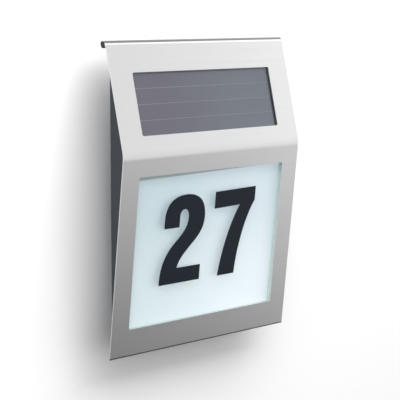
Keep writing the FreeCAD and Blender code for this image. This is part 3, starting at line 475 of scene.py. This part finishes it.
def eased_copy(node, width, shrink=0.0, segments=2, first=None):
    """A node's shape with its sharp edges rounded, and its faces moved in by shrink.

    first is a wider rounding and a test for the edges that get it.
    """
    shape = bmesh.new()
    shape.from_mesh(nodes[node].data)
    bmesh.ops.remove_doubles(shape, verts=shape.verts, dist=MERGE_WITHIN)
    bmesh.ops.dissolve_limit(shape, angle_limit=FLAT_WITHIN, verts=shape.verts, edges=shape.edges)
    shape.normal_update()
    for vert in shape.verts:
        vert.co -= vert.normal * vert.calc_shell_factor() * shrink
    cut_edge = shape.faces.layers.float.new("cut_edge")
    if first:
        round_off(shape, sharp_edges(shape, first[1]), first[0], 4)
        shape.normal_update()
    for face in round_off(shape, sharp_edges(shape), width, segments)["faces"]:
        face[cut_edge] = 1.0
    bmesh.ops.triangulate(shape, faces=shape.faces[:])
    mesh = bpy.data.meshes.new(node + "_eased")
    shape.to_mesh(mesh)
    shape.free()
    for edge in mesh.edges:
        edge.use_edge_sharp = False
    mesh.polygons.foreach_set("use_smooth", [True] * len(mesh.polygons))
    shade_by_flats(mesh)
    return mesh


def shade_by_flats(mesh):
    """Turns each vertex's normal to the largest flat it borders, so only rounded edges curve."""
    facing = [tuple(round(part, 3) for part in face.normal) for face in mesh.polygons]
    extent = Counter()
    for face, way in zip(mesh.polygons, facing):
        extent[way] += face.area
    normals = [Vector() for _ in mesh.vertices]
    for face, way in zip(mesh.polygons, facing):
        for index in face.vertices:
            normals[index] += face.normal * (extent[way] / MM ** 2) ** 3
    mesh.normals_split_custom_set_from_vertices([normal.normalized() for normal in normals])


def stand_in(node, mesh, body, finish):
    """Shows a piece with this mesh in place of the node."""
    mesh.materials.append(finish)
    piece = add_object(mesh.name, mesh)
    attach(piece, body)
    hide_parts(node)


def front_with_rolled_edges(finish):
    """The front's bottom edge is rolled over further than its other edges."""
    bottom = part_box("front_plate")[0][2] + 0.3 * MM

    def along_bottom(edge):
        return all(vert.co.z < bottom for vert in edge.verts) and edge.calc_length() > 100 * MM

    mesh = eased_copy("front_plate", EDGE_ROUNDING, segments=3,
                      first=(BOTTOM_ROUNDING, along_bottom))
    stand_in("front_plate", mesh, "cover", finish)


def ground_sheet(node, finish):
    """A clear sheet a hair smaller than its node, so that no face of it lies in a neighbour's."""
    mesh = eased_copy(node, SHEET_ROUNDING, shrink=SHEET_SHRINK)
    stand_in(node, mesh, "housing", finish)


# ---- small parts of the control board, which repeat ----
CHIP_SIZE = (2.0 * MM, 1.25 * MM, 0.55 * MM)          # long, wide and off the board
CHIP_BODY = 0.66             # shares of the chip's length
CHIP_END = 0.2
CHIP_END_PLACE = 0.4
CHIP_END_PROUD = 1.06        # of its height and width
# x and z in millimetres, and the share of CHIP_SIZE
CHIP_PLACES = ((21.5, 2.4, 1.0), (21.5, 4.6, 1.0), (26.5, 1.0, 1.0), (26.5, 3.2, 0.8),
               (26.5, -2.0, 1.0), (30.5, -1.6, 0.8), (30.5, 0.6, 0.8), (36.5, -3.4, 1.3),
               (36.5, -6.4, 1.3), (41.0, -1.4, 1.0), (41.0, -4.2, 1.0), (51.6, -1.2, 1.3),
               (51.0, 3.8, 1.0), (18.2, -7.4, 1.0), (22.2, -7.4, 1.0))


def chip_tree():
    """Geometry Nodes: on each point a body between two tinned ends that stand proud of it."""
    tree = bpy.data.node_groups.new("board_chips", "GeometryNodeTree")
    kinds = {"Points": "Geometry", "Length": "Float", "Width": "Float", "Height": "Float",
             "Body": "Material", "Ends": "Material"}
    sockets = {name: tree.interface.new_socket(name, in_out="INPUT",
                                               socket_type="NodeSocket" + kind).identifier
               for name, kind in kinds.items()}
    tree.interface.new_socket("Chips", in_out="OUTPUT", socket_type="NodeSocketGeometry")
    parts = NodeSet(tree)
    given = parts.nodes.new("NodeGroupInput")
    take = {name: Value(parts, given.outputs[name]) for name in kinds}

    def block(length, proud, middle, material):
        height = take["Height"] * proud
        width = take["Width"] * proud
        size = parts.node("ShaderNodeCombineXYZ", values={0: length, 1: height, 2: width})
        cube = parts.node("GeometryNodeMeshCube", values={"Size": size})
        at = parts.node("ShaderNodeCombineXYZ", values={0: middle, 1: height * -0.5})
        moved = parts.node("GeometryNodeTransform", values={"Geometry": cube, "Translation": at})
        return parts.node("GeometryNodeSetMaterial",
                          values={"Geometry": moved, "Material": material})

    long = take["Length"]
    chip = parts.node("GeometryNodeJoinGeometry")
    body = block(long * CHIP_BODY, 1.0, 0.0, take["Body"])
    ends = [block(long * CHIP_END, CHIP_END_PROUD, long * place, take["Ends"])
            for place in (CHIP_END_PLACE, -CHIP_END_PLACE)]
    for piece in (body, *ends):
        parts.put(chip.socket.node.inputs[0], piece)
    share = parts.node("GeometryNodeInputNamedAttribute", {"data_type": "FLOAT"},
                       {"Name": "share"})
    placed = parts.node("GeometryNodeInstanceOnPoints",
                        values={"Points": take["Points"], "Instance": chip, "Scale": share})
    whole = parts.node("GeometryNodeRealizeInstances", values={"Geometry": placed})
    parts.put(parts.nodes.new("NodeGroupOutput").inputs["Chips"], whole)
    return tree, sockets


def board_chips(finishes):
    """Chip resistors and capacitors on the front of the control board."""
    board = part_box("control_board")[0][1]
    points = bpy.data.meshes.new("chip_points")
    points.from_pydata([(x * MM, board, z * MM) for x, z, _ in CHIP_PLACES], [], [])
    shares = points.attributes.new("share", "FLOAT", "POINT")
    shares.data.foreach_set("value", [share for _, _, share in CHIP_PLACES])
    carrier = add_object("chip_points", points)
    tree, sockets = chip_tree()
    chips = carrier.modifiers.new("chips", "NODES")
    chips.node_group = tree
    given = dict(zip(("Length", "Width", "Height"), CHIP_SIZE),
                 Body=finishes["chip_black"], Ends=finishes["nickel"])
    for name, value in given.items():
        chips[sockets[name]] = value
    shown = carrier.evaluated_get(bpy.context.evaluated_depsgraph_get())
    mesh = bpy.data.meshes.new_from_object(shown)
    bpy.data.objects.remove(carrier)
    piece = add_object("board_chips", mesh)
    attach(piece, "housing")


# ---- stage, lamps and camera ----
def stage_finish():
    """Pale from the front, with the object's shadow. From behind it isn't there."""
    finish = Finish("stage_white", STAGE_WHITE, 1.0)
    behind = finish.node("ShaderNodeNewGeometry", output="Backfacing")
    finish.show(finish.blend(behind, finish.shader("ShaderNodeBsdfDiffuse", color=STAGE_WHITE),
                             finish.shader("ShaderNodeBsdfTransparent")))
    return finish.material


def stage_sheet(name, corners, finish):
    """A pale sheet that the camera sees, and that lights, shades and shows in nothing else."""
    mesh = bpy.data.meshes.new(name)
    mesh.from_pydata(corners, [], [(0, 1, 2, 3)])
    mesh.materials.append(finish)
    sheet = add_object(name, mesh)
    sheet.visible_diffuse = False
    sheet.visible_glossy = False
    sheet.visible_transmission = False
    sheet.visible_shadow = False
    return sheet


def make_stage():
    """A wall behind the sign, facing the viewer, and a floor below it."""
    finish = stage_finish()
    half, low, near = STAGE_SIZE / 2, -FLOOR_DROP, WALL_GAP - STAGE_SIZE
    wall = stage_sheet("stage_wall", [(-half, WALL_GAP, low), (half, WALL_GAP, low),
                                      (half, WALL_GAP, half), (-half, WALL_GAP, half)], finish)
    floor = stage_sheet("stage_floor", [(-half, near, low), (half, near, low),
                                        (half, WALL_GAP, low), (-half, WALL_GAP, low)], finish)
    return wall, floor


def soft_lamp(name, azimuth, elevation, distance, size, watts):
    """A soft box aimed at the sign. Azimuth 0 is straight in front, and 90 is to the right."""
    data = bpy.data.lights.new(name, "AREA")
    data.shape = "RECTANGLE"
    data.size, data.size_y = size
    data.energy = watts
    lamp = add_object(name, data)
    turn, lift = math.radians(azimuth), math.radians(elevation)
    way = Vector((math.sin(turn) * math.cos(lift), -math.cos(turn) * math.cos(lift),
                  math.sin(lift)))
    lamp.location = SIGN_MIDDLE + way * distance
    lamp.rotation_mode = "QUATERNION"
    lamp.rotation_quaternion = (-way).to_track_quat("-Z", "Y")
    return lamp


def light_only(lamp, members, state):
    """Links a lamp to these objects, or, with EXCLUDE, to all the others."""
    group = bpy.data.collections.new(lamp.name + "_group")
    for member in members:
        group.objects.link(member)
    lamp.light_linking.receiver_collection = group
    for link in group.collection_objects:
        link.light_linking.link_state = state


def make_lamps(stage):
    """For the sign, a weak lamp at the upper left and a wide one at the right.

    A third lights only the backdrop.
    """
    key = soft_lamp("key_lamp", azimuth=-58, elevation=34, distance=1.3, size=(0.4, 0.4), watts=5.0)
    side = soft_lamp("right_lamp", azimuth=92, elevation=6, distance=1.5,
                     size=(2.2, 2.2), watts=7.0)
    for lamp in (key, side):
        light_only(lamp, stage, "EXCLUDE")
    over = soft_lamp("backdrop_lamp", azimuth=-8, elevation=66, distance=1.2,
                     size=(1.55, 1.55), watts=33.0)
    over.visible_glossy = False
    light_only(over, stage, "INCLUDE")


def make_world():
    """A studio that is pale all round and above, and darker below."""
    world = bpy.data.worlds.new("studio")
    bpy.context.scene.world = world
    world.use_nodes = True
    studio = NodeSet(world.node_tree)
    way = studio.node("ShaderNodeTexCoord", output="Generated")
    up = studio.node("ShaderNodeSeparateXYZ", values={0: way}, output=2)
    level = up.rise(-0.46, -0.13) * (1 - LOW_STUDIO) + LOW_STUDIO
    back = studio.nodes["Background"]
    grey = studio.node("ShaderNodeCombineColor", values={0: level, 1: level, 2: level})
    studio.put(back.inputs["Color"], grey)
    back.inputs["Strength"].default_value = STUDIO_LEVEL


def make_camera():
    data = bpy.data.cameras.new("camera")
    data.lens = CAMERA_LENS
    data.sensor_width = SENSOR
    data.clip_start = 0.01
    data.clip_end = 20.0
    camera = add_object("camera", data)
    turn, tilt = math.radians(CAMERA_AZIMUTH), math.radians(CAMERA_ELEVATION)
    ahead = Vector((math.sin(turn) * math.cos(tilt), math.cos(turn) * math.cos(tilt),
                    math.sin(tilt)))
    level = ahead.to_track_quat("-Z", "Y").to_matrix()
    roll = Matrix.Rotation(math.radians(CAMERA_ROLL), 3, ahead)
    camera.matrix_world = Matrix.Translation(CAMERA_PLACE) @ (roll @ level).to_4x4()
    bpy.context.scene.camera = camera


made_finishes = dress_cad_nodes()
front_with_rolled_edges(made_finishes["steel_front"])
ground_sheet("solar_glass", made_finishes["module_glass"])
ground_sheet("number_pane", made_finishes["clear_pane"])
board_chips(made_finishes)
make_lamps(make_stage())
make_world()
make_camera()
bpy.context.scene.view_settings.view_transform = "Standard"
